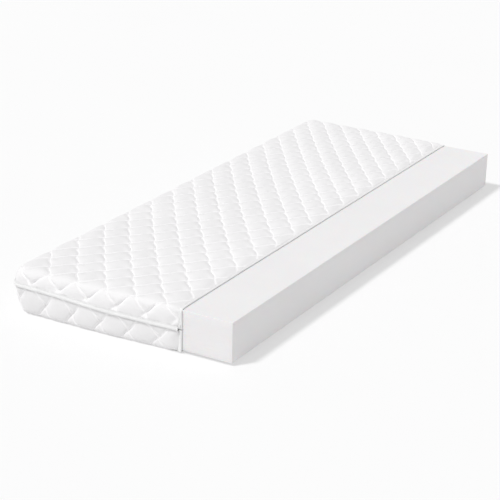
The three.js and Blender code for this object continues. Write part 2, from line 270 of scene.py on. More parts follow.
# Shares of the bulge at heights above the floor, along the walls and at the corners.
WALL_BULGE = ((0, 12, 40, 75, 110, 135, 150), (0.95, 1.05, 1.05, 1, 0.8, 0.35, 0))
CORNER_BULGE = ((0, 12, 28, 50, 75, 100, 125, 150), (-0.9, -0.25, 0.4, 0.85, 1.05, 0.85, 0.4, -0.1))


def fuller(points):
    """The filled cover's own shape: its closed end bulges, its bound edge wanders and its zip isn't level."""
    x, y, z = points.T
    past_x, past_y = CORNER_X - x, np.abs(y) - CORNER_Y
    outside = np.hypot(np.maximum(past_x, 0), np.maximum(past_y, 0))
    depth = CORNER - np.where((past_x > 0) & (past_y > 0), outside, np.maximum(past_x, past_y))
    left, front = smooth(1 - (x - FACE_X) / BULGE_REACH), smooth(1 - (y + FACE_Y) / BULGE_REACH)
    corner = left * smooth(1 - (FACE_Y - np.abs(y)) / BULGE_REACH)
    along_walls = np.interp(z, *WALL_BULGE)
    profile = along_walls + (np.interp(z, *CORNER_BULGE) - along_walls) * corner
    reach = 8.8 + 9 * smooth(1 - z / 22)
    profile = profile * np.clip((reach - depth) / (reach - 5), 0, 1)
    drift = 0.6 - 0.0039 * y + 3.5 * smooth((-y - 950) / 47) + 3.3 * smooth((y - 950) / 40)
    rise = (4 + ZIP_RISE * smooth((100 - x) / 450)) * smooth((-y - 500) / 450)
    rise *= smooth(z / 55) * smooth((HEIGHT - z) / 55)
    return np.stack([x - SIDE_BULGE * left * profile + drift * smooth((x - 110) / 90),
                     y - FRONT_BULGE * front * smooth((QUILT_END - x) / 300) * profile, z + rise], -1)


# ---- quilted sheets ----

def cut(points, faces, inside):
    """Keeps the part of the faces where inside(points) is positive. Neighbours share their cut points."""
    value = inside(points)
    points = [tuple(p) for p in points]
    made, kept = {}, []
    for face in faces:
        signs = [value[i] >= 0 for i in face]
        if all(signs):
            kept.append(face)
        elif any(signs):
            new = []
            for a, b in zip(face, face[1:] + face[:1]):
                if value[a] >= 0:
                    new.append(a)
                if (value[a] >= 0) != (value[b] >= 0):
                    key = (min(a, b), max(a, b))
                    if key not in made:
                        w = value[key[0]] / (value[key[0]] - value[key[1]])
                        ends = np.array(points[key[0]]), np.array(points[key[1]])
                        made[key] = len(points)
                        points.append(tuple(ends[0] * (1 - w) + ends[1] * w))
                    new.append(made[key])
            if len(new) > 2:
                kept.append(new)
    used = sorted({i for face in kept for i in face})
    renumber = {old: new for new, old in enumerate(used)}
    return np.array([points[i] for i in used]), [[renumber[i] for i in face] for face in kept]


def quilt_plan(to_plane, cells, limits, insides, steps=STEPS):
    """Polygons of a quilted panel that follow its seams: points (x, y, s, t), seams at whole s and t."""
    s_cells, t_cells = cells
    s = (np.arange(*s_cells)[:, None] + steps[None, :]).ravel()
    t = (np.arange(*t_cells)[:, None] + steps[None, :]).ravel()
    s_grid, t_grid = np.meshgrid(s, t, indexing="ij")
    s_wave = s_grid + SEAM_WAVE * np.sin(2 * PI * t_grid)
    t_wave = t_grid - SEAM_WAVE * np.sin(2 * PI * s_grid)
    x, y = to_plane(s_wave, t_wave)
    for axis, places in enumerate(limits):
        for place in places:
            near = np.abs((x, y)[axis] - place) < 1.5
            (x, y)[axis][near] = place
    points = np.stack([x, y, s_grid, t_grid], -1).reshape(-1, 4)
    faces = strips(len(s), len(t))
    rough = np.ones(len(points), bool)
    for inside in insides:
        rough &= inside(points) > -60
    faces = [f for f in faces if rough[f[0]] and rough[f[2]]]
    for inside in insides:
        points, faces = cut(points, faces, inside)
    return points, faces


def to_seam(value):
    """Distance to the nearest seam, 0 on it and 1 at the middle of a diamond."""
    return np.abs(value - np.round(value)) * 2


def relief(points, edge, crest, seam, crossing, edge_depth, fade=16.0):
    """Depth of the quilt: domes of varying fullness between its seams, flat towards the panel's edges."""
    a, b = to_seam(points[:, 2]), to_seam(points[:, 3])
    dome = (np.sin(PI / 2 * a) * np.sin(PI / 2 * b)) ** 0.47
    cell = np.floor(points[:, 2]) * 57 + np.floor(points[:, 3]) * 131
    fullness = 1 + 0.12 * np.sin(cell * 12.9898) * np.cos(cell * 4.1414)
    valley = seam + crossing * np.exp(-((a ** 2 + b ** 2) / 0.05))
    depth = valley - (valley + crest) * dome * fullness
    keep = smooth(edge / fade)
    return depth * keep + edge_depth * (1 - keep)


def welded(placed, faces):
    """Joins points that lie together, so that each edge of the cloth has a length. Gives the points kept."""
    _, kept, where = np.unique(np.round(placed / 0.02 + 0.31), axis=0, return_index=True, return_inverse=True)
    where = where.ravel()
    joined = [list(dict.fromkeys(int(where[i]) for i in face)) for face in faces]
    return kept, [face for face in joined if len(face) > 2]


def quilt_object(name, points, faces, surface, depth):
    """The sheet as a mesh, with (s, t) kept as a UV layer so that the cloth's material finds the seams."""
    placed = surface(points[:, 0], points[:, 1], depth)
    kept, faces = welded(placed, faces)
    points = points[kept]
    obj = make_object(name, placed[kept], faces)
    layer = obj.data.uv_layers.new(name="quilt")
    corner_vertex = np.zeros(len(obj.data.loops), np.int32)
    obj.data.loops.foreach_get("vertex_index", corner_vertex)
    layer.data.foreach_set("uv", points[corner_vertex, 2:4].astype(np.float32).ravel())
    return obj, kept


def crease_seams(obj, points, amount):
    ends = np.zeros(2 * len(obj.data.edges), np.int32)
    obj.data.edges.foreach_get("vertices", ends)
    ends = ends.reshape(-1, 2)
    on_seam = [to_seam(points[ends, k]) < 1e-6 for k in (2, 3)]
    both = on_seam[0].all(1) | on_seam[1].all(1)
    crease = obj.data.attributes.new("crease_edge", "FLOAT", "EDGE")
    crease.data.foreach_set("value", (both * amount).astype(np.float32))


def inflate(obj, pinned):
    """Cloth simulation: the sheet swells between its pinned seams, and no point moves further than CAP."""
    obj.vertex_groups.new(name="sewn").add(np.nonzero(pinned)[0].tolist(), 1.0, "REPLACE")
    cloth = obj.modifiers.new("cloth", "CLOTH")
    for setting, value in {
        "quality": 5, "mass": 0.2, "air_damping": 2, "vertex_group_mass": "sewn",
        "tension_stiffness": 12, "compression_stiffness": 4, "shear_stiffness": 4, "bending_stiffness": 0.3,
        "use_pressure": True, "uniform_pressure_force": PRESSURE, "shrink_min": -SLACK,
    }.items():
        setattr(cloth.settings, setting, value)
    cloth.settings.effector_weights.gravity = 0
    cloth.collision_settings.use_collision = False
    cloth.point_cache.frame_start, cloth.point_cache.frame_end = 1, 20
    for number in range(1, 21):
        scene.frame_set(number)
    swollen = read_points(obj.evaluated_get(bpy.context.evaluated_depsgraph_get()))
    obj.modifiers.remove(cloth)
    scene.frame_set(1)
    before = read_points(obj)
    move = swollen - before
    size = np.linalg.norm(move, axis=1, keepdims=True)
    write_points(obj, before + move * np.minimum(1, CAP / np.maximum(size, 1e-6)))


def turn_in(points, faces, on_hem, step):
    """Adds the hem's turned-in cloth: the edges along it are drawn round to the inside in three rows."""
    edges = [(a, b) for a, b in open_edges(faces) if on_hem[a] and on_hem[b]]
    rows, extra, new_faces = {}, [], []
    for v in sorted({v for e in edges for v in e}):
        rows[v] = [v]
        for k in HEM_ROWS:
            rows[v].append(len(points) + len(extra))
            extra.append(step(points[v], k))
    for a, b in edges:
        for k in range(3):
            new_faces.append([rows[b][k], rows[a][k], rows[a][k + 1], rows[b][k + 1]])
    level = np.zeros(len(points) + len(extra), int)
    for row in rows.values():
        level[row[1:]] = 1, 2, 3
    return np.vstack([points, np.array(extra)]), faces + new_faces, level


# The rows of a turned-in hem: how far up the cloth each lies, and how deep.
HEM_ROWS = {1: (-0.6, 1.3), 2: (0.3, 2.6), 3: (11.0, 6.4)}


def bound_depth(from_hem, from_end):
    """How far in the quilt lies at the binding: drawn in, but held out by the zip near the hem."""
    drawn_in = np.maximum(smooth((from_hem - 12) / 14), smooth((4 - from_end) / 4))
    return BY_ZIP_DEPTH + (BOUND_DEPTH - BY_ZIP_DEPTH) * drawn_in


# ---- materials ----

class Look:
    """A node material being put together: math and texture nodes in a row, one shader at the end."""

    def __init__(self, name, **constants):
        self.material = bpy.data.materials.new(name)
        self.material.use_nodes = True
        self.tree = self.material.node_tree
        self.shader = self.tree.nodes["Principled BSDF"]
        for socket, value in constants.items():
            self.shader.inputs[socket.replace("_", " ")].default_value = value
        self.place = self.node("ShaderNodeTexCoord").outputs["Object"]

    def node(self, kind, **settings):
        made = self.tree.nodes.new(kind)
        for key, value in settings.items():
            setattr(made, key, value)
        return made

    def link(self, value, socket):
        if isinstance(value, bpy.types.NodeSocket):
            self.tree.links.new(value, socket)
        else:
            socket.default_value = value

    def math(self, operation, a, b=0.0, c=0.0):
        made = self.node("ShaderNodeMath", operation=operation)
        for value, socket in zip((a, b, c), made.inputs):
            self.link(value, socket)
        return made.outputs[0]

    def texture(self, kind, scale, stretch):
        """A texture laid by the object's own position, stretched along its axes."""
        mapping = self.node("ShaderNodeMapping")
        mapping.inputs["Scale"].default_value = stretch
        self.link(self.place, mapping.inputs["Vector"])
        made = self.node(kind)
        self.link(mapping.outputs[0], made.inputs["Vector"])
        made.inputs["Scale"].default_value = scale
        return made

    def noise(self, scale, detail=2.0, rough=0.5, stretch=(1, 1, 1)):
        made = self.texture("ShaderNodeTexNoise", scale, stretch)
        made.inputs["Detail"].default_value = detail
        made.inputs["Roughness"].default_value = rough
        return made.outputs[0]

    def cells(self, scale, stretch=(1, 1, 1)):
        return self.texture("ShaderNodeTexVoronoi", scale, stretch).outputs["Distance"]

    def split(self, vector):
        made = self.node("ShaderNodeSeparateXYZ")
        self.link(vector, made.inputs[0])
        return made.outputs

    def mix(self, amount, low, high):
        made = self.node("ShaderNodeMix", data_type="RGBA")
        self.link(amount, made.inputs["Factor"])
        for value, socket in ((low, made.inputs["A"]), (high, made.inputs["B"])):
            self.link(value if isinstance(value, bpy.types.NodeSocket) else (*value, 1.0), socket)
        return made.outputs["Result"]

    def tones(self, color, drift, low, *layers):
        """The colour with a slow drift down to `low` of it, under layers of (where, how much, tone)."""
        spread = self.math("MULTIPLY", self.math("SUBTRACT", drift, 0.3), 2.5)
        base = self.mix(spread, shade(color, low), color)
        for where, amount, tone in layers:
            base = self.mix(self.math("MULTIPLY", where, amount), base, shade(color, tone))
        return base

    def bumps(self, *layers):
        """Bumps over each other, each (height, distance, strength)."""
        normal = None
        for height, distance, strength in layers:
            made = self.node("ShaderNodeBump")
            made.inputs["Distance"].default_value = distance
            made.inputs["Strength"].default_value = strength
            self.link(height, made.inputs["Height"])
            if normal is not None:
                self.link(normal, made.inputs["Normal"])
            normal = made.outputs[0]
        return normal

    def finish(self, color, normal=None, roughness=None):
        self.link(color, self.shader.inputs["Base Color"])
        if normal is not None:
            self.link(normal, self.shader.inputs["Normal"])
        if roughness is not None:
            self.link(roughness, self.shader.inputs["Roughness"])
        return self.material


def shade(color, factor):
    return tuple(c * factor for c in color)


def seam_stitches(look):
    """From the quilt's (s, t): how much of a seam's thread is here, and a band along each seam's groove that
    the materials use for painted highlight and painted shade.
    """
    s, t, _ = look.split(look.node("ShaderNodeUVMap", uv_map="quilt").outputs[0])
    thread, painted_seam_shading = [], []
    for across, along in ((s, t), (t, s)):
        away = look.math("PINGPONG", across, 0.5)
        painted_seam_shading.append(look.math("SUBTRACT", 1.0, look.math("MULTIPLY", away, 14.0)))
        line = look.math("LESS_THAN", away, 0.0075)
        dash = look.math("GREATER_THAN", look.math("FRACT", look.math("MULTIPLY", along, 22.0)), 0.3)
        thread.append(look.math("MULTIPLY", line, dash))
    return (look.math("MAXIMUM", *thread),
            look.math("MAXIMUM", 0.0, look.math("MAXIMUM", *painted_seam_shading)))


def ticking_material(name, color):
    """Knitted cloth: fine loops in slanted wales, seams brightened with a painted highlight, their threads, a
    faint tone drift.
    """
    look = Look(name, Roughness=0.86, Sheen_Weight=0.25, Sheen_Roughness=0.4, Specular_IOR_Level=0.2)
    loops = look.cells(720, (1.0, 0.62, 1.0))
    wale = look.noise(260, 2.0, 0.6, (1.0, 0.28, 0.6))
    fuzz = look.noise(46, 4.0, 0.65)
    thread, painted_seam_shading = seam_stitches(look)
    # The band along each seam is a painted highlight that brightens the ticking beside every seam.
    base = look.tones(color, look.noise(5.0, 3.0, 0.6), 0.965,
                      (loops, 0.22, 0.8), (painted_seam_shading, 1, 1.13), (thread, 1, 1.08))
    return look.finish(base, look.bumps(
        (loops, 0.00035, 0.8), (wale, 0.0009, 0.5), (fuzz, 0.0016, 0.55), (thread, 0.0005, 0.8)))


def fibre_material(name, color):
    """Lofty wadding: random fibres in clumps, matt and soft."""
    look = Look(name, Roughness=0.95, Sheen_Weight=0.4, Sheen_Roughness=0.6, Specular_IOR_Level=0.1)
    strands = look.noise(420, 5.0, 0.75, (1.0, 0.35, 1.0))
    clumps = look.noise(60, 3.0, 0.6)
    base = look.tones(color, clumps, 0.93, (strands, 0.12, 0.75))
    return look.finish(base, look.bumps((strands, 0.0008, 0.8), (clumps, 0.003, 0.5)))


def lining_material(name, color):
    """Non-woven backing: bonded dots, with the quilting stitches coming through and painted shade along the
    seams.
    """
    look = Look(name, Roughness=0.92, Sheen_Weight=0.15, Sheen_Roughness=0.5, Specular_IOR_Level=0.15)
    dots = look.cells(640)
    strands = look.noise(300, 4.0, 0.7, (1.0, 0.4, 1.0))
    thread, painted_seam_shading = seam_stitches(look)
    # The band along each seam is painted shade that darkens the lining in its seams.
    base = look.tones(color, look.noise(7.0), 0.95,
                      (strands, 0.15, 0.78), (painted_seam_shading, 0.3, 0.7), (thread, 1, 1.08))
    return look.finish(base, look.bumps((dots, 0.0003, 0.7), (strands, 0.0006, 0.5), (thread, 0.0005, 0.8)))


def woven_material(name, color, pitch, roughness=0.75, height=0.00035):
    """Woven tape: over-and-under ribs in two directions, laid by object position."""
    look = Look(name, Roughness=roughness, Sheen_Weight=0.2, Sheen_Roughness=0.4, Specular_IOR_Level=0.3)
    x, y, z = look.split(look.place)
    ribs = []
    for run in (look.math("ADD", x, y), look.math("MULTIPLY_ADD", x, 0.5, z)):
        ribs.append(look.math("SINE", look.math("MULTIPLY", run, 2 * PI / pitch)))
    weave = look.math("MULTIPLY_ADD", look.math("MULTIPLY", *ribs), 0.5, 0.5)
    drift = look.noise(22, 3.0)
    base = look.tones(color, drift, 0.95, (weave, 0.14, 0.7))
    return look.finish(base, look.bumps((weave, height, 0.8), (drift, 0.0015, 0.4)))


def foam_material(name, color):
    """Open-cell foam, cut face: fine pores, a few larger ones darkened with painted shade, faint saw marks
    and a soft tone drift.
    """
    look = Look(name, Roughness=0.93, Sheen_Weight=0.1, Sheen_Roughness=0.6, Specular_IOR_Level=0.15,
                Subsurface_Weight=0.12, Subsurface_Scale=0.006)
    pores = look.cells(850)
    painted_pore_shade = look.math("LESS_THAN", look.cells(210), 0.12)
    grain = look.noise(520, 4.0, 0.7)
    marks = look.noise(36, 3.0, 0.6, (0.25, 0.25, 3.0))
    # The larger pores are darkened with painted shade.
    base = look.tones(color, look.noise(3.2, 3.0, 0.6), 0.97, (grain, 0.1, 0.72), (painted_pore_shade, 0.22, 0.6))
    return look.finish(base, look.bumps((pores, 0.0005, 0.7), (grain, 0.0007, 0.6), (marks, 0.0022, 0.35)))


def plastic_material(name, color, roughness):
    """Moulded nylon: slight mottling and a satin skin."""
    look = Look(name, Specular_IOR_Level=0.45)
    mottle = look.noise(380, 3.0)
    base = look.mix(mottle, shade(color, 0.93), color)
    gloss = look.math("MULTIPLY_ADD", mottle, 0.12, roughness - 0.06)
    return look.finish(base, look.bumps((mottle, 0.0002, 0.5)), gloss)


def enamel_material(name, color):
    """White enamel on a small die-cast part, rubbed duller on its high spots."""
    look = Look(name, Coat_Weight=0.4, Coat_Roughness=0.2, Specular_IOR_Level=0.5)
    rub = look.noise(900, 4.0, 0.7)
    base = look.mix(look.math("GREATER_THAN", rub, 0.66), color, shade(color, 0.8))
    gloss = look.math("MULTIPLY_ADD", rub, 0.25, 0.2)
    return look.finish(base, look.bumps((rub, 0.00015, 0.6)), gloss)


WHITE = (0.866, 0.859, 0.865)
TICKING = ticking_material("knitted ticking", WHITE)
# The border's ticking is the same cloth as the top's, made darker as painted shade on the walls.
SHADED_BORDER_TICKING = ticking_material("knitted border ticking in painted shade", shade(WHITE, 0.965))
WADDING = fibre_material("polyester wadding", (0.93, 0.93, 0.92))
LINING = lining_material("non-woven lining", (0.80, 0.80, 0.79))
BINDING = woven_material("binding tape", (0.90, 0.90, 0.90), 0.0014)
FLAP = woven_material("folded flap cloth", (0.89, 0.89, 0.89), 0.0009, 0.8)
TAPE = woven_material("zip tape", (0.74, 0.74, 0.73), 0.0008, 0.7)
THREAD = woven_material("sewing thread", (0.80, 0.80, 0.80), 0.0005, 0.6, 0.0002)
COIL = plastic_material("nylon coil", (0.72, 0.72, 0.71), 0.42)
NYLON = plastic_material("moulded nylon", (0.76, 0.76, 0.75), 0.5)
ENAMEL = enamel_material("white enamel", (0.78, 0.78, 0.77))
FOAM = foam_material("memory foam", (0.842, 0.832, 0.838))


def dress(obj, material, body, slot, *nodes):
    """Material, body and the CAD nodes that the piece stands for. The slot argument is not used."""
    if body in ("upper_cover", "lower_cover"):
        write_points(obj, fuller(read_points(obj)))
    obj.data.materials.clear()
    obj.data.materials.append(material)
    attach(obj, body)
    if nodes:
        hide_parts(*nodes)
    return obj


# ---- upper quilt ----

HEM_REACH = CORNER - TOP_ROUND + TOP_ROUND * PI / 2 + HEIGHT - TOP_ROUND - UPPER_HEM
PLANE_LEFT = CORNER_X - HEM_REACH
PLANE_FRONT = CORNER_Y + HEM_REACH

COLUMN_START, ROW_START = -1.244, 0.021     # where the middle of the top lies in its columns and rows
COLUMNS, ROWS = 11.13, 8.32                 # diamonds per metre there
PLANE_STEPS = 8


def top_plane(s, t):
    """The top's place of a seam's (s, t). Its diamonds drift, so x and y are found in a few steps."""
    column, row = (s - t) / 2 - COLUMN_START, (s + t) / 2 - ROW_START
    x, y = np.zeros_like(column), row / ROWS
    for _ in range(PLANE_STEPS):
        x = (column - y * (0.386 * y - 0.412)) / (COLUMNS + 1.65 * y)
        y = (row + 0.293 * x - 0.154 * y * y) / ROWS
    return x * 1000, y * 1000


def past_corner(points):
    return CORNER_X - points[:, 0], np.abs(points[:, 1]) - CORNER_Y


def at_dart(points):
    """Distance to the dart that lets the cloth turn down at a corner: negative in the part cut away."""
    past_x, past_y = past_corner(points)
    main, other = np.maximum(past_x, past_y), np.minimum(past_x, past_y)
    angle, _ = bent(main - (CORNER - TOP_ROUND), TOP_ROUND)
    return half_corner(angle) - other


def at_end(points):
    return QUILT_END - points[:, 0]


def at_upper_hem(points):
    return np.minimum(points[:, 0] - PLANE_LEFT, PLANE_FRONT - np.abs(points[:, 1]))


def near_corner(points):
    """Distance to the dart where there is one, and far elsewhere."""
    past_x, past_y = past_corner(points)
    sewn = np.maximum(past_x, past_y) > CORNER - TOP_ROUND
    return np.where(sewn & (np.minimum(past_x, past_y) > -12), np.maximum(at_dart(points), 0), 99.0)


def upper_plan(steps):
    return quilt_plan(top_plane, ((-15, 12), (-12, 18)),
                      ((QUILT_END, PLANE_LEFT), (PLANE_FRONT, -PLANE_FRONT)),
                      (at_end, at_upper_hem, at_dart), steps)


def sewn_points(points, edge):
    return (to_seam(points[:, 2]) < 1e-6) | (to_seam(points[:, 3]) < 1e-6) | (edge < 0.5)


def hemmed(points, faces, hem, step):
    """The quilt with its faces outwards and its hem turned in. Also gives each point's hem row, or 0."""
    return turn_in(points, flipped(faces), np.abs(hem(points)) < 1e-3, step)


def make_up(name, surface, points, faces, level, depth, from_sewn_edge):
    """The quilt laid on its surface, creased at its seams and swollen between them."""
    for k, (_, hem_depth) in HEM_ROWS.items():
        depth[level == k] = hem_depth
    obj, kept = quilt_object(name, points, faces, surface, depth)
    crease_seams(obj, points[kept], 0.55)
    pinned = sewn_points(points, from_sewn_edge) | (level > 0)
    inflate(obj, pinned[kept])
    soften(obj)
    return obj


def top_quilt():
    def step(point, k):
        x, y, s, t = point
        up, _ = HEM_ROWS[k]
        if x - PLANE_LEFT < 1e-3:
            return (x + up, y, s, t)
        return (x, y - math.copysign(up, y), s, t)

    points, faces, level = hemmed(*upper_plan(STEPS), at_upper_hem, step)
    end, dart, hem = at_end(points), near_corner(points), at_upper_hem(points)
    edge = np.minimum(np.minimum(end * 0.5, dart), hem - 7)
    edge_depth = np.where(end < 26, bound_depth(hem, end), 0.15)
    dart_depth = 0.3 + 2.1 * smooth((hem - 12) / 18)
    edge_depth = np.where((dart < end) & (dart < 16), dart_depth, edge_depth)
    depth = relief(points, edge, CREST, SEAM_DEPTH, CROSSING_DEPTH, edge_depth, 11.0)
    obj = make_up("top_quilt", top_surface, points, faces, level, depth,
                  np.minimum(np.minimum(end, dart), hem - 3))
    return dress(obj, TICKING, "upper_cover", "ticking", "top_ticking")


TOP_QUILT = top_quilt()


# ---- border quilt ----

BORDER_REACH = LOWER_HEM - BASE_Z - BASE_ROUND + BASE_ROUND * 1.36
BORDER_START = 168.0            # a crossing's place along the border
BORDER_ROW = 31.0               # the height of its one row of crossings
BORDER_LONG, BORDER_TALL = 104, 119


def border_plane(s, t):
    """The border is a panel of its own, with its crossings in one row near mid-height."""
    return BORDER_START - BORDER_LONG * (s - t) / 2, LOWER_HEM - BORDER_ROW - BORDER_TALL * (s + t) / 2


def at_run_ends(points):
    return np.minimum(points[:, 0], PERIMETER - points[:, 0])


def at_lower_hem(points):
    return points[:, 1]


def at_tuck(points):
    return BORDER_REACH - points[:, 1]


def border_plan(steps):
    return quilt_plan(border_plane, ((-31, 4), (-4, 31)),
                      ((0.0, PERIMETER), (0.0, BORDER_REACH)),
                      (at_run_ends, at_lower_hem, at_tuck), steps)


def clear_of_pull(obj):
    """Keeps the back wall's puffs behind the hanging zip pull, which passes over them."""
    points = read_points(obj)
    limit = FACE_Y + 0.1 + 5 * smooth((44 - points[:, 2]) / 16)
    points[:, 1] = np.minimum(points[:, 1], limit)
    write_points(obj, points)


def border_quilt():
    def step(point, k):
        p, h, s, t = point
        return (p, h + HEM_ROWS[k][0], s, t)

    points, faces, level = hemmed(*border_plan(STEPS), at_lower_hem, step)
    end, hem, tuck = at_run_ends(points), at_lower_hem(points), at_tuck(points)
    edge = np.minimum(np.minimum(end * 0.5, hem - 2), tuck + 3)
    edge_depth = np.where(end < 26, bound_depth(hem, end), 0.15)
    depth = relief(points, edge, CREST, SEAM_DEPTH, CROSSING_DEPTH, edge_depth, 13.0)
    depth = np.where(tuck < 16, np.maximum(depth, 0.0), depth)
    obj = make_up("border_quilt", border_surface, points, faces, level, depth,
                  np.minimum(end, np.minimum(hem - 2, tuck)))
    clear_of_pull(obj)
    return dress(obj, SHADED_BORDER_TICKING, "lower_cover", "ticking", "border_ticking")


BORDER_QUILT = border_quilt()


# ---- base quilt, wadding and linings ----

FOAM_CORNER_DEPTH = 29.1    # how far in the foam's rounded hidden corners have their centres
COARSE = np.array([0, 0.2, 0.5, 0.8])       # rows of points across a diamond, where nothing shows
FILLING_DEPTH = 7.7         # the inner side of the wadding
LINING_END = UPPER_HEM + 0.2
BASE_WIDE, BASE_LONG = 97, 119


def base_plane(s, t):
    return BASE_WIDE * (s - t) / 2, BASE_LONG * (s + t) / 2


def base_edge(points):
    """Distance to the base panel's outline, with its two rounded corners at the closed side."""
    inset, corner = BASE_INSET, 20.7
    right = QUILT_END - points[:, 0]
    from_x = points[:, 0] - (FACE_X + inset + corner)
    from_y = FACE_Y - inset - corner - np.abs(points[:, 1])
    outside = np.hypot(np.minimum(from_x, 0), np.minimum(from_y, 0))
    within = np.minimum(np.maximum(from_x, 0), np.maximum(from_y, 0))
    return np.minimum(right, np.where((from_x > 0) & (from_y > 0), corner + within, corner - outside))


def base_surface(x, y, depth):
    return np.stack([x, y, np.broadcast_to(depth, x.shape)], -1)


def base_plan(steps):
    return quilt_plan(base_plane, ((-14, 14), (-14, 14)), ((QUILT_END,), ()), (base_edge,), steps)


def lining_relief(points, edge):
    return relief(points, edge, -8.65, 8.1, -0.1, 8.3)


def lining_top_surface(x, y, depth):
    return top_surface(x, y, depth, FOAM_CORNER_DEPTH, 9.4)


def inner_wall(p, z, depth):
    return wall_surface(p, z, depth, corner=FOAM_CORNER_DEPTH)


def stretches(corner):
    """Where the wall's straights and corners meet, along it, when its corners have that radius."""
    run, arc, side = QUILT_END - FACE_X - corner, corner * PI / 2, 2 * (FACE_Y - corner)
    return np.cumsum([0, run, arc, side, arc, run])


OUTER_ENDS, INNER_ENDS = stretches(CORNER), stretches(FOAM_CORNER_DEPTH)


def filling_depth(points, end, hem, other, hem_width, plain):
    """Depth of the wadding's outer side: under the puffs, and drawn in at the binding and behind the zip."""
    edge = np.minimum(np.minimum(end * 0.4, other), hem - hem_width)
    edge_depth = np.where(end < 26, 6.2, np.where(hem < 24, 4.1, plain))
    return np.maximum(relief(points, edge, -1.6, 5.6, CROSSING_DEPTH, edge_depth, 8.0), 1.6)


def add_filling(name, outer, inner, faces, body, *nodes):
    obj = dress(shell(name, outer, inner, faces), WADDING, body, "wadding", *nodes)


def top_inner_layers():
    points, faces = upper_plan(COARSE)
    faces = flipped(faces)
    x, y, end, hem = points[:, 0], points[:, 1], at_end(points), at_upper_hem(points)
    outer = top_surface(x, y, filling_depth(points, end, hem, near_corner(points), 13, 3.1))
    inner = lining_top_surface(x, y, FILLING_DEPTH)
    inner[:, 2] = np.maximum(inner[:, 2], LINING_END)
    add_filling("top_filling", outer, inner, faces, "upper_cover", "top_wadding", "side_wadding")

    depth = lining_relief(points, np.minimum(end, hem))
    obj, _ = quilt_object("top_lining", points, faces, lining_top_surface, depth)
    placed = read_points(obj)
    placed[:, 2] = np.maximum(placed[:, 2], LINING_END)
    write_points(obj, placed)
    dress(obj, LINING, "upper_cover", "backing", "top_backing")


def border_inner_layers():
    points, faces = border_plan(COARSE)
    p, h = points[:, 0], points[:, 1]
    depth = filling_depth(points, at_run_ends(points), at_lower_hem(points), at_tuck(points), 12, 2.5)
    outer = border_surface(p, h, depth)
    z = LOWER_HEM - np.minimum(h / BORDER_REACH, 1) * (LOWER_HEM - BASE_Z - 1.2)
    inner = inner_wall(np.interp(p, OUTER_ENDS, INNER_ENDS), z, FILLING_DEPTH)
    add_filling("border_filling", outer, inner, flipped(faces), "lower_cover", "border_wadding")

    low, high, whole = 9.3, LOWER_HEM, INNER_ENDS[-1]
    run, rise = np.linspace(0, whole, 340), np.linspace(high - 0.3, low, 9)
    p, z = (grid.ravel() for grid in np.meshgrid(run, rise, indexing="ij"))
    column = (BORDER_START - np.interp(p, INNER_ENDS, OUTER_ENDS)) / BORDER_LONG
    row = (z - BORDER_ROW) / BORDER_TALL
    points = np.stack([p, z, row + column, row - column], -1)
    depth = lining_relief(points, np.minimum(p, whole - p))
    faces = flipped(strips(len(run), len(rise)))
    obj, _ = quilt_object("border_lining", points, faces, inner_wall, depth)
    dress(obj, LINING, "lower_cover", "backing", "border_backing")


def base_layers():
    points, faces = base_plan(STEPS)
    depth = relief(points, base_edge(points), -0.25, 3.3, 0.6, 0.8, 14.0)
    obj, kept = quilt_object("base_quilt", points, flipped(faces), base_surface, depth)
    crease_seams(obj, points[kept], 0.5)
    soften(obj)
    dress(obj, TICKING, "lower_cover", "ticking", "base_ticking")

    points, faces = base_plan(COARSE)
    x, y, edge = points[:, 0], points[:, 1], base_edge(points)
    outer = base_surface(x, y, relief(points, edge, -1.5, 4.6, 0.6, 2.2, 14.0))
    inner = base_surface(x, y, FILLING_DEPTH)
    add_filling("base_filling", outer, inner, faces, "lower_cover", "base_wadding")
    obj, _ = quilt_object("base_lining", points, faces, base_surface, lining_relief(points, edge))
    dress(obj, LINING, "lower_cover", "backing", "base_backing")


top_inner_layers()
border_inner_layers()
base_layers()


# ---- swept pieces: binding, flap, tapes ----

def sweep(name, stations, profile, place, wobble=None):
    """A closed section carried along stations, with both ends shut. place(station, a, b) gives the points."""
    rows = []
    profile = np.array(profile, float)
    for number, station in enumerate(stations):
        shift = (0.0, 0.0) if wobble is None else wobble(number)
        rows.append(place(np.full(len(profile), station), profile[:, 0] + shift[0], profile[:, 1] + shift[1]))
    return make_object(name, np.concatenate(rows), tube(len(stations), len(profile)))


def drift_of(count, step, size, seed):
    """A slow, even wander along a piece: one value for each station."""
    source = np.random.default_rng(seed)
    knots = source.normal(0, size, int(count / step) + 3)
    at = np.arange(count) / step
    low = at.astype(int)
    w = smooth(at - low)
    return knots[low] * (1 - w) + knots[low + 1] * w


def section(along, x, depth, upper):
    """A point on the mattress's cross-section, `along` it from the middle of the top (or of the base)."""
    radius = TOP_ROUND if upper else BASE_ROUND
    flat = FACE_Y - radius
    angle, drop = bent(np.abs(along) - flat, radius)
    y = np.where(np.abs(along) > flat, flat + radius * np.sin(angle), np.abs(along)) - depth * np.sin(angle)
    fall = radius * (1 - np.cos(angle)) + drop + depth * np.cos(angle)
    return np.stack([x, np.sign(along) * y, HEIGHT - fall if upper else BASE_Z + fall], -1)


BINDING_SECTION = (
    (-0.1, 5.3), (0.5, 4.8), (1.8, 4.6), (2.7, 4.8), (3.1, 5.2), (3.5, 4.8), (4.6, 4.4), (7.2, 4.2),
    (9.6, 4.5), (10.9, 5.0), (11.8, 6.0), (12.2, 7.4), (11.6, 8.6), (7.2, 8.7), (4.6, 8.65), (3.1, 8.4),
    (1.8, 8.65), (0.5, 8.6), (-0.1, 8.2), (0.6, 7.9), (3.1, 7.7), (7.2, 7.9), (10.0, 7.7), (11.0, 6.9),
    (9.9, 5.8), (7.2, 5.3), (3.1, 5.9), (0.6, 5.6),
)
ZIP_Z = (UPPER_HEM + LOWER_HEM) / 2


def section_end(upper):
    radius = TOP_ROUND if upper else BASE_ROUND
    height = HEIGHT - ZIP_Z if upper else ZIP_Z - BASE_Z
    return FACE_Y - radius + radius * PI / 2 + height - radius - 0.2


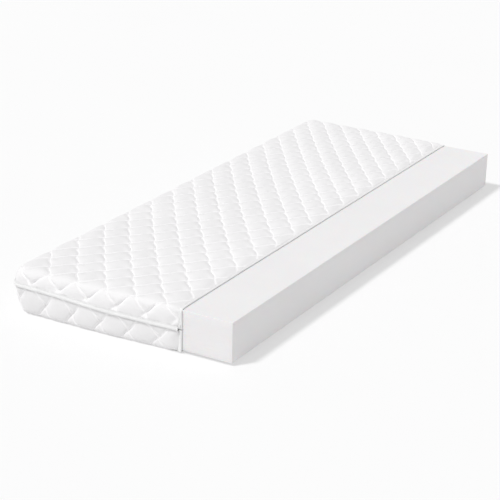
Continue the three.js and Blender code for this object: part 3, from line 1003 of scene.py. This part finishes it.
def binding(name, upper, body, node):
    end, radius = section_end(upper), TOP_ROUND if upper else BASE_ROUND
    flat = FACE_Y - radius
    curve = np.linspace(flat, flat + radius * PI / 2, 9)
    wall = np.arange(curve[-1] + 5, end - 2, 5.0)
    half = np.concatenate([curve[1:], wall, [end]])
    stations = np.concatenate([-half[::-1], np.linspace(-flat, flat, 331), half])
    sway = drift_of(len(stations), 14, 0.32, 3 if upper else 4)
    lift = drift_of(len(stations), 9, 0.16, 5 if upper else 6)
    ripple = rng.normal(0, 0.05, len(stations))
    rest = np.zeros(len(stations)) if upper else -3.7 * smooth(1 - (np.abs(stations) - flat) / 40)
    obj = sweep(name, stations, [(BINDING_START + a, d) for a, d in BINDING_SECTION[::1 if upper else -1]],
                lambda s, a, b: section(s, a, b, upper),
                lambda i: (min(sway[i], 0.4), rest[i] - abs(lift[i]) * 0.7 + ripple[i]))
    soften(obj)
    dress(obj, BINDING, body, "binding", node)
    return stations, sway, lift, rest


UPPER_BINDING = binding("upper_edge_binding", True, "upper_cover", "upper_binding")
LOWER_BINDING = binding("lower_edge_binding", False, "lower_cover", "lower_binding")


FLAP_TALL = 15.4
FLAP_SECTION = (
    (15.4, -1.0), (14.6, -1.5), (13.0, -1.3), (12.4, -1.1), (11.6, -1.35), (10.0, -1.9), (8.2, -2.9),
    (6.0, -3.6), (3.6, -3.7), (1.6, -3.3), (0.4, -2.5), (0.0, -1.7), (0.5, -0.9), (2.5, -0.45),
    (6.0, -0.35), (10.0, -0.3), (15.4, -0.3), (15.4, -0.62), (10.4, -0.62), (6.0, -0.9), (2.6, -1.2),
    (1.4, -1.7), (2.6, -2.3), (6.0, -2.2), (9.0, -1.4), (10.6, -0.85), (12.4, -0.72), (15.4, -0.72),
)


def flap_scale(p):
    """The flap hangs over the zip round two sides, and is turned back to clear the slider on the third."""
    return 1 - 0.33 * smooth((p - (PERIMETER - FRONT_RUN - CORNER_ARC - 240)) / 220)


def flap_surface(p, below_top, depth):
    scale = flap_scale(p)
    return wall_surface(p, FLAP_TOP - below_top * scale, depth * scale)


def zip_flap():
    stations = np.arange(-3.0, PERIMETER, 7.0)
    stations[-1] = PERIMETER
    out = drift_of(len(stations), 9, 0.22, 8)
    up = drift_of(len(stations), 12, 0.35, 9)
    profile = [(FLAP_TALL - z, depth) for z, depth in FLAP_SECTION[::-1]]
    obj = sweep("folded_zip_flap", stations, profile, flap_surface,
                lambda i: (np.clip(up[i], -0.6, 0.6), max(out[i], -0.5)))
    soften(obj)
    dress(obj, FLAP, "upper_cover", "flap", "zip_flap")
    return stations, up, out


FLAP_STATIONS, FLAP_UP, FLAP_OUT = zip_flap()


def zip_tapes():
    """Both tapes: flat behind the coils, and sloping inwards where the quilts' hems are sewn to them."""
    stations = np.arange(0.3, PERIMETER, 8.0)
    for name, node, body, over, side in (
        ("upper_zip_band", "upper_zip_tape", "upper_cover", "top_quilt", 1),
        ("lower_zip_band", "lower_zip_tape", "lower_cover", "border_quilt", -1),
    ):
        free, sewn = (corner[2] for corner in extent(node)[::side])
        line = free + (sewn - 0.1 * side - free) * np.array([0.0, 0.03, 0.12, 0.4, 0.7, 0.97, 1.0])
        behind = 3.05 + 0.355 * np.maximum(np.abs(line - free) - 1.6, 0)
        profile = list(zip(line, behind)) + list(zip(line, behind + 0.5))[::-1]
        obj = sweep(name, stations, profile[::side], wall_surface)
        dress(obj, TAPE, body, "zip_tape", node)


zip_tapes()


# ---- small repeated pieces ----

def copies(name, shape, faces, places):
    """One mesh of many copies of a shape, which is given in the axes of each place: (origin, axes)."""
    shape = np.asarray(shape, float)
    origin, axes = places[:, 0], places[:, 1:]
    points = origin[:, None, :] + np.einsum("nk,mkj->mnj", shape, axes)
    starts = (np.arange(len(places)) * len(shape))[:, None]
    return make_object(name, points.reshape(-1, 3), [row.tolist() for face in faces for row in face + starts])


def capsule(length, width, thick, sides=6):
    """A rounded thread or tooth along its first axis."""
    rings = ((-0.5, 0.35), (-0.38, 0.85), (0.38, 0.85), (0.5, 0.35))
    points = []
    for at, size in rings:
        for k in range(sides):
            a = 2 * PI * k / sides
            points.append((at * length, size * width / 2 * math.cos(a), size * thick / 2 * math.sin(a)))
    return points, tube(len(rings), sides)


def frames_along(points, outward):
    """Origins and axes (along, across, outward) at each point of a line."""
    along = np.gradient(points, axis=0)
    along /= np.linalg.norm(along, axis=1, keepdims=True)
    out = outward / np.linalg.norm(outward, axis=1, keepdims=True)
    across = np.cross(out, along)
    return np.stack([points, along, across, out], 1)


def row_of_stitches(name, points, outward, body, slot, length=3.1, width=0.75):
    places = frames_along(points, outward)
    shape, faces = capsule(length, width, width * 0.8)
    return dress(copies(name, shape, faces, places), THREAD, body, slot)


def binding_stitches(name, made, upper, body):
    stations, sway, lift, rest = made
    end = stations[-1]
    at = np.arange(-end + 3, end - 2, 4.4)
    x = BINDING_START + 3.1 + np.minimum(np.interp(at, stations, sway), 0.4)
    down = np.interp(at, stations, rest) - np.abs(np.interp(at, stations, lift)) * 0.7
    for number, (depth, way) in enumerate(((5.05, -1), (8.5, 1))):
        points = section(at, x, depth + down, upper)
        out = way * (section(at, x, depth + down + 1, upper) - points)
        row_of_stitches(f"{name}_{number + 1}", points, out, body, "binding")


binding_stitches("upper_binding_stitches", UPPER_BINDING, True, "upper_cover")
binding_stitches("lower_binding_stitches", LOWER_BINDING, False, "lower_cover")


def flap_stitches():
    at = np.arange(3.0, PERIMETER - 2, 4.2)
    below = FLAP_TALL - 12.4 + np.clip(np.interp(at, FLAP_STATIONS, FLAP_UP), -0.6, 0.6)
    depth = -1.15 + np.maximum(np.interp(at, FLAP_STATIONS, FLAP_OUT), -0.5)
    points = flap_surface(at, below, depth - 0.1)
    out = points - flap_surface(at, below, depth + 1)
    row_of_stitches("flap_stitches", points, out, "upper_cover", "flap", 3.0, 0.7)


flap_stitches()


def zip_coils():
    """Both coil halves: a row of rounded nylon loops on each tape's edge, with the slider's slit between."""
    shape, faces = capsule(2.2, 2.5, 1.35, 8)
    for name, node, body, middle in (
        ("upper_coil", "upper_zip_coil", "upper_cover", ZIP_Z + 1.7),
        ("lower_coil", "lower_zip_coil", "lower_cover", ZIP_Z - 1.7),
    ):
        start = QUILT_END - extent(node)[1][0]
        end = PERIMETER - (QUILT_END - COIL_BACK_END)
        at = np.arange(start + 1, end - 1, 2.3)
        points = wall_surface(at, middle, 3.3)
        upright = np.tile([0.0, 0.0, 1.0], (len(at), 1))
        inward = wall_surface(at, middle, 4.3) - points
        along = np.cross(upright, inward)
        places = np.stack([points, upright, inward, along], 1)
        dress(copies(name, shape, faces, places), COIL, body, "zip_coil", node)


COIL_BACK_END = extent("slider_body")[0][0] - 0.3
zip_coils()


TAB_SINK = 3.6


def end_tab(name, node, side):
    """Folded bit of cloth sewn over the flap's end: rounded front, edges turned under."""
    low, high = extent(node)
    steps_a, steps_b = np.linspace(-1, 1, 9), np.linspace(-1, 1, 13)
    a, b = (grid.ravel() for grid in np.meshgrid(steps_a, steps_b, indexing="ij"))
    (middle_x, _, middle_z), (half_x, _, half_z) = (low + high) / 2, (high - low) / 2
    pull = 1 - 0.05 * (1 - b * b) * np.abs(a)
    x = middle_x + half_x * a * pull
    z = middle_z + half_z * b + 0.35 * a * (1 - b * b)
    dome = (1 - a ** 6) * (1 - b ** 8)
    front = 0.2 - 2.6 * dome ** 0.5 - 0.25 * np.sin(3 * a + 1) * dome
    groove = np.exp(-((np.abs(b) - 0.78) / 0.07) ** 2) * dome
    front = front + 0.5 * groove + TAB_SINK
    outer = np.stack([x, side * (FACE_Y - front), z], -1)
    inner = np.stack([x, np.full_like(x, side * (FACE_Y - 0.55 - TAB_SINK)), z], -1)
    faces = strips(len(steps_a), len(steps_b))
    obj = shell(name, outer, inner, faces if side > 0 else flipped(faces))
    soften(obj)
    dress(obj, FLAP, "upper_cover", "flap", node)
    x = np.linspace(low[0] + 1, high[0] - 1, 4)
    y = np.full(4, side * (FACE_Y + 1.5 - TAB_SINK))
    out = np.tile([0.0, side, 0.0], (4, 1))
    for number, row in ((1, -0.78), (2, 0.78)):
        points = np.stack([x, y, np.full(4, middle_z + row * half_z)], -1)
        row_of_stitches(f"{name}_stitches_{number}", points, out, "upper_cover", "flap", 1.7, 0.6)


end_tab("front_folded_tab", "front_end_tab", -1)
end_tab("back_folded_tab", "back_end_tab", 1)


def keep_node(node, material, bevel):
    """A CAD part whose shape is right: a better finish, and its hard edges just broken."""
    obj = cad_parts[node]
    obj.data.materials.clear()
    obj.data.materials.append(material)
    edge = obj.modifiers.new("edges", "BEVEL")
    edge.width = bevel * 0.001
    edge.segments = 2
    edge.limit_method = "ANGLE"


for node in ("front_lower_stop", "back_lower_stop", "front_upper_stop", "back_upper_stop"):
    keep_node(node, NYLON, 0.15)
for node in ("slider_body", "pull_tab"):
    keep_node(node, ENAMEL, 0.15)


# ---- foam core ----

def corner_points(x, y, radius, start, count):
    """A quarter round of the foam's plan, from its starting angle: places and outward normals."""
    for a in np.linspace(start, start + PI / 2, count):
        yield x + radius * math.cos(a), y + radius * math.sin(a), math.cos(a), math.sin(a)


def foam_core():
    """The block, with its cut edges barely broken and the hidden corners squeezed round."""
    low, high = FOAM_LOW, FOAM_HIGH
    corner, soft, step = 20.0, 1.6, 25
    across = range(1, int((high[0] - low[0] - corner) / step))
    along = range(1, int((high[1] - low[1] - 2 * corner) / step))
    plan = [(high[0], low[1] + step * k, 1, 0) for k in range(1, int((high[1] - low[1]) / step))]
    plan += corner_points(high[0] - soft, high[1] - soft, soft, 0, 4)
    plan += [(high[0] - step * k, high[1], 0, 1) for k in across]
    plan += corner_points(low[0] + corner, high[1] - corner, corner, PI / 2, 9)
    plan += [(low[0], high[1] - corner - step * k, -1, 0) for k in along]
    plan += corner_points(low[0] + corner, low[1] + corner, corner, PI, 9)
    plan += [(high[0] - step * k, low[1], 0, -1) for k in across[::-1]]
    plan += corner_points(high[0] - soft, low[1] + soft, soft, 1.5 * PI, 4)
    x, y, out_x, out_y = np.array(plan, float).T
    broken = [(soft * (1 - math.cos(a)), soft * (1 - math.sin(a))) for a in np.linspace(0, PI / 2, 4)]
    rows = [(low[2] + drop, inset) for inset, drop in broken[::-1]]
    rows += [(z, 0.0) for z in np.linspace(low[2] + 22, high[2] - 22, 5)]
    rows += [(high[2] - drop, inset) for inset, drop in broken]
    points = [np.stack([x - out_x * inset, y - out_y * inset, np.full_like(x, z)], -1) for z, inset in rows]
    obj = make_object("foam_block", np.concatenate(points), tube(len(rows), len(plan)))
    for polygon in obj.data.polygons[-2:]:
        polygon.use_smooth = False
    dress(obj, FOAM, "foam_core", "foam", "foam_core")


foam_core()


# ---- stage and light ----

def add_stage():
    """A plain light table and an even white tent, with one soft key light from the left."""
    reach, down = 30000, -0.5
    corners = [(x, y, down) for x, y in ((-reach, -reach), (reach, -reach), (reach, reach), (-reach, reach))]
    floor = make_object("floor", corners, [[0, 1, 2, 3]], smooth=False)
    look = Look("studio floor", Roughness=0.9, Specular_IOR_Level=0.05,
                Emission_Color=(1.0, 1.0, 1.0, 1.0), Emission_Strength=0.36)
    drift = look.noise(0.8, 2.0)
    floor.data.materials.append(look.finish(look.mix(drift, (0.562, 0.562, 0.563), (0.572, 0.572, 0.572))))
    world = bpy.data.worlds.new("studio")
    world.use_nodes = True
    tree = world.node_tree
    height = tree.nodes.new("ShaderNodeSeparateXYZ")
    tree.links.new(tree.nodes.new("ShaderNodeTexCoord").outputs["Generated"], height.inputs[0])
    fall = tree.nodes.new("ShaderNodeMapRange")
    for socket, value in (("From Min", 0.06), ("From Max", 0.2), ("To Min", 0.97), ("To Max", 0.58)):
        fall.inputs[socket].default_value = value
    tree.links.new(height.outputs["Z"], fall.inputs["Value"])
    tree.links.new(fall.outputs[0], tree.nodes["Background"].inputs["Strength"])
    tree.nodes["Background"].inputs["Color"].default_value = (1.0, 1.0, 1.0, 1.0)
    scene.world = world
    data = bpy.data.lights.new("key", "SUN")
    data.energy, data.angle = 1.80, math.radians(9)
    light = bpy.data.objects.new("key", data)
    scene.collection.objects.link(light)
    light.rotation_mode = "QUATERNION"
    light.rotation_quaternion = Vector((-0.17, -0.235, 0.49)).to_track_quat("Z", "Y")
    scene.view_settings.view_transform = "Standard"


add_stage()
